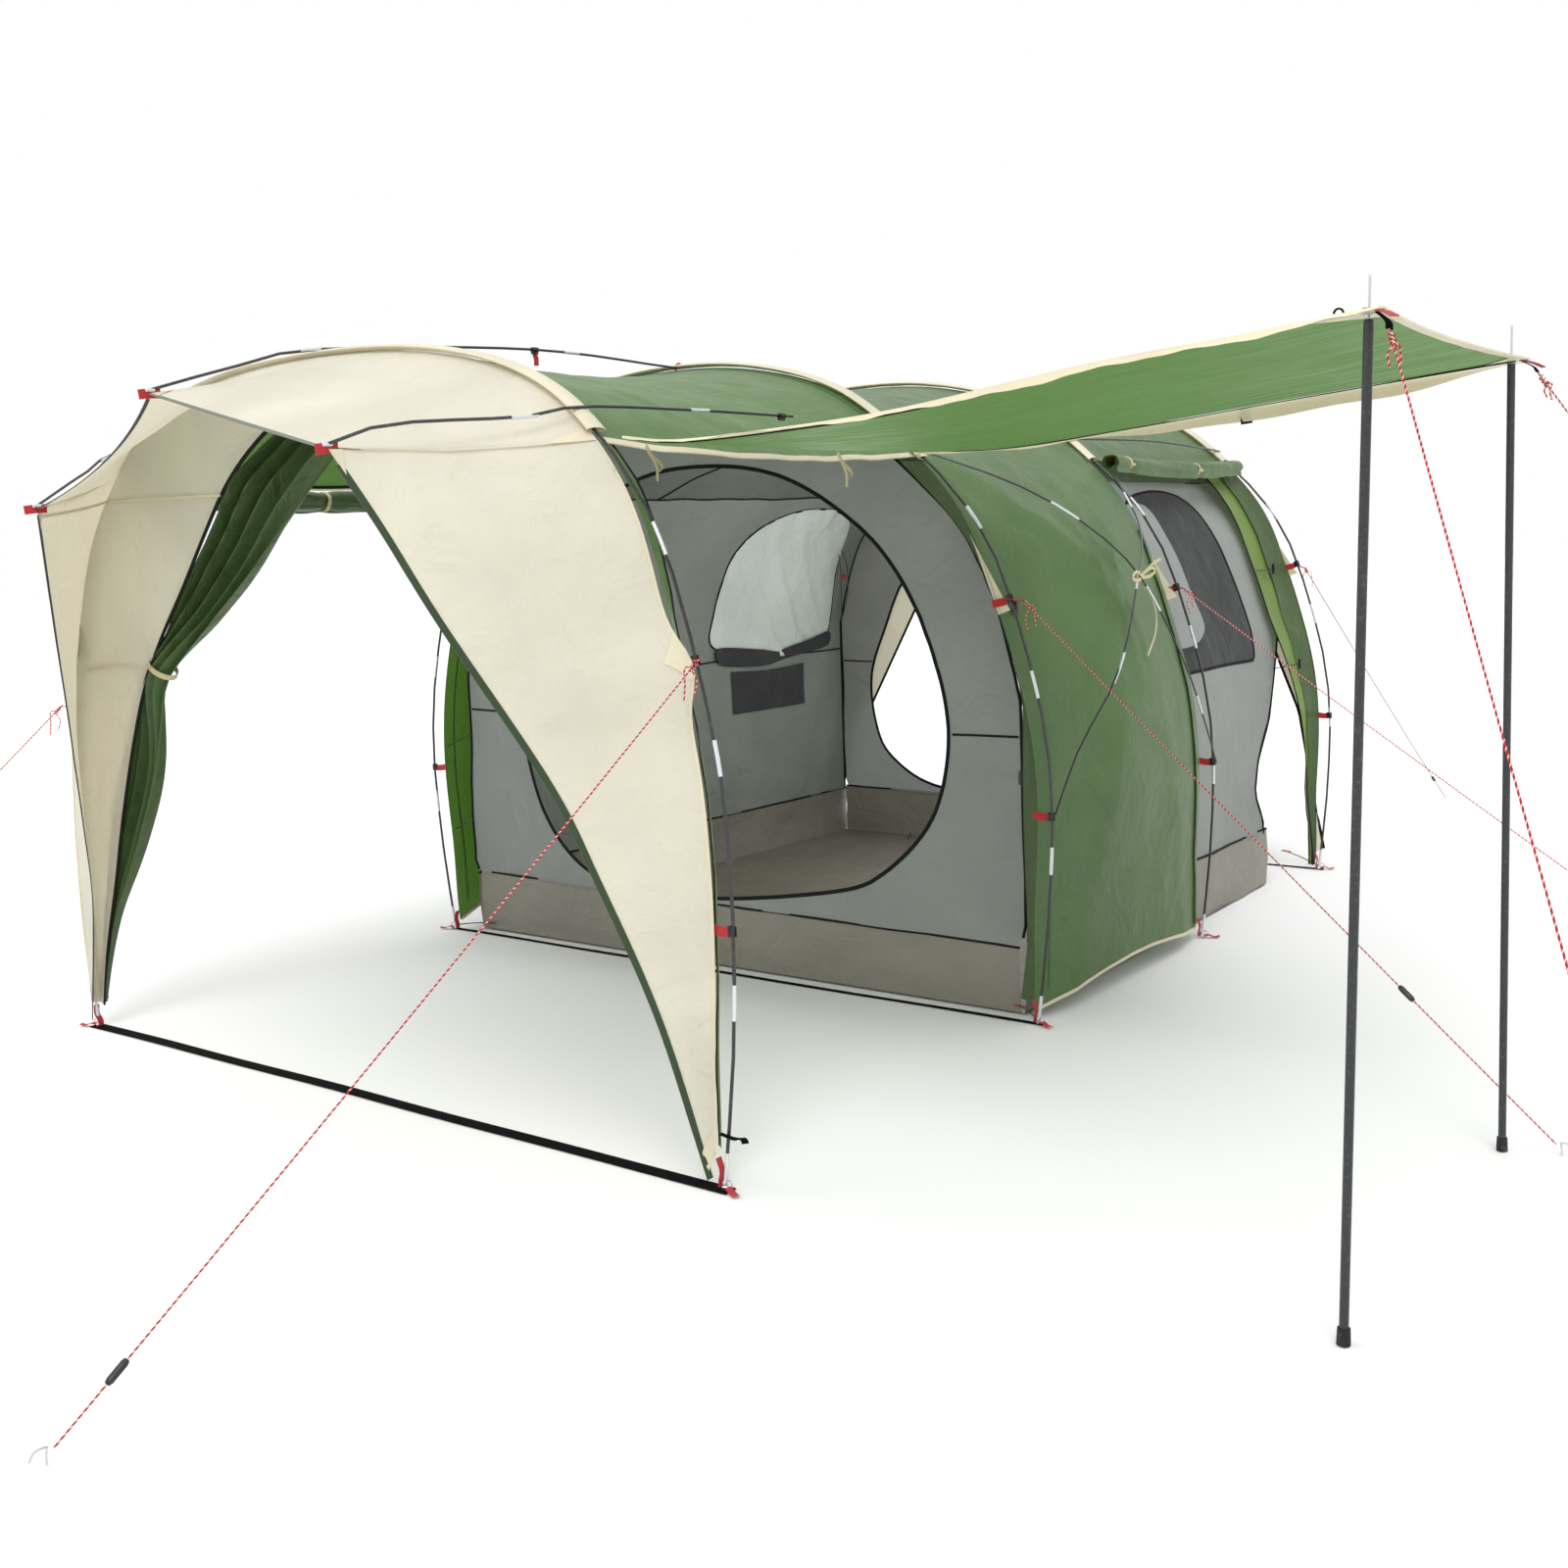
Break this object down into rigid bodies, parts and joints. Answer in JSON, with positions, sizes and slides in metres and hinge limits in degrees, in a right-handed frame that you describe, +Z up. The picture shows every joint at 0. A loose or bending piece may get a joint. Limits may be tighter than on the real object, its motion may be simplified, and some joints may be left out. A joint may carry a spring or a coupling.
{
  "type": "tunnel tent on poles",
  "caption": "Tunnel tent with arched poles, a front visor, a side canopy propped on two straight poles, an inner cabin with round doors, and guy lines to pegs.",
  "frame": {"origin": "centre of the groundsheet's underside, on the ground", "axes": "+Z up, +Y along the tunnel from the visor to the rear, +X towards the side with the propped canopy"},
  "size_m": [5.6513, 8.3722, 2.2609],
  "materials": {
    "fibreglass": "semi-gloss black",
    "steel_black": "satin black powder coat",
    "steel_bright": "bright zinc",
    "rubber": "matte",
    "fly_green": "coated polyester taffeta",
    "fly_cream": "coated polyester taffeta",
    "cabin_fabric": "thin breathable polyester",
    "groundsheet": "coated polyethylene cloth",
    "webbing": "woven tape",
    "cord": "red and white braid",
    "plastic": "moulded"
  },
  "bodies": {
    "tent": {"cabin_front_wall": "cabin_fabric", "cabin_rear_wall": "cabin_fabric", "cabin_shell": "cabin_fabric", "canopy_pole_far": "steel_black", "canopy_pole_foot_far": "rubber", "canopy_pole_foot_near": "rubber", "canopy_pole_near": "steel_black", "canopy_spike_far": "steel_bright", "canopy_spike_near": "steel_bright", "cross_pole_a": "fibreglass", "cross_pole_b": "fibreglass", "door_curtain": "fly_green", "fly_end_wall": "fly_cream", "fly_middle": "fly_green", "fly_rear": "fly_green", "fly_roof_front": "fly_green", "fly_side_roll": "fly_green", "foot_pin_1_left": "steel_bright", "foot_pin_1_right": "steel_bright", "foot_pin_2_left": "steel_bright", "foot_pin_2_right": "steel_bright", "foot_pin_3_left": "steel_bright", "foot_pin_3_right": "steel_bright", "foot_pin_4_left": "steel_bright", "foot_pin_4_right": "steel_bright", "ground_strap_1": "webbing", "ground_strap_2": "webbing", "ground_strap_4": "webbing", "groundsheet": "groundsheet", "guy_canopy_far": "cord", "guy_canopy_near": "cord", "guy_front_left": "cord", "guy_front_right": "cord", "guy_rear_right": "cord", "guy_second_right": "cord", "guy_third_right": "cord", "hoop_pole_1": "fibreglass", "hoop_pole_2": "fibreglass", "hoop_pole_3": "fibreglass", "hoop_pole_4": "fibreglass", "peg_canopy_far": "steel_bright", "peg_canopy_near": "steel_bright", "peg_front_left": "steel_bright", "peg_front_right": "steel_bright", "peg_rear_right": "steel_bright", "peg_second_right": "steel_bright", "peg_third_right": "steel_bright", "rear_roof_pole_left": "fibreglass", "rear_roof_pole_right": "fibreglass", "roof_pole_left": "fibreglass", "roof_pole_middle": "fibreglass", "roof_pole_right": "fibreglass", "visor_roof": "fly_cream", "visor_wing_left": "fly_cream", "visor_wing_right": "fly_cream"},
    "canopy": {"canopy": "fly_green"},
    "door_zip": {"door_zip_slider": "plastic"},
    "runner_front_right": {"runner_front_right": "plastic"},
    "runner_second_right": {"runner_second_right": "plastic"},
    "runner_rear_right": {"runner_rear_right": "plastic"}
  },
  "joints": [
    {"name": "canopy_lift", "type": "hinge", "parent": "tent", "child": "canopy", "pos_m": [1.118, -3.02, 1.872], "axis": [0.0678, -0.9977, -0.0032], "range_deg": [0, 100]},
    {"name": "door_zip_run", "type": "hinge", "parent": "tent", "child": "door_zip", "pos_m": [0.25, -1.335, 1.05], "axis": [0, -1, 0], "range_deg": [-48, 125]},
    {"name": "runner_front_right_slide", "type": "slide", "parent": "tent", "child": "runner_front_right", "axis": [0.1165, 0.7778, 0.6177], "range_m": [0, 0.25]},
    {"name": "runner_second_right_slide", "type": "slide", "parent": "tent", "child": "runner_second_right", "axis": [-0.7676, 0.1521, 0.6226], "range_m": [0, 0.25]},
    {"name": "runner_rear_right_slide", "type": "slide", "parent": "tent", "child": "runner_rear_right", "axis": [-0.0113, -0.8505, 0.5259], "range_m": [0, 0.25]}
  ]
}
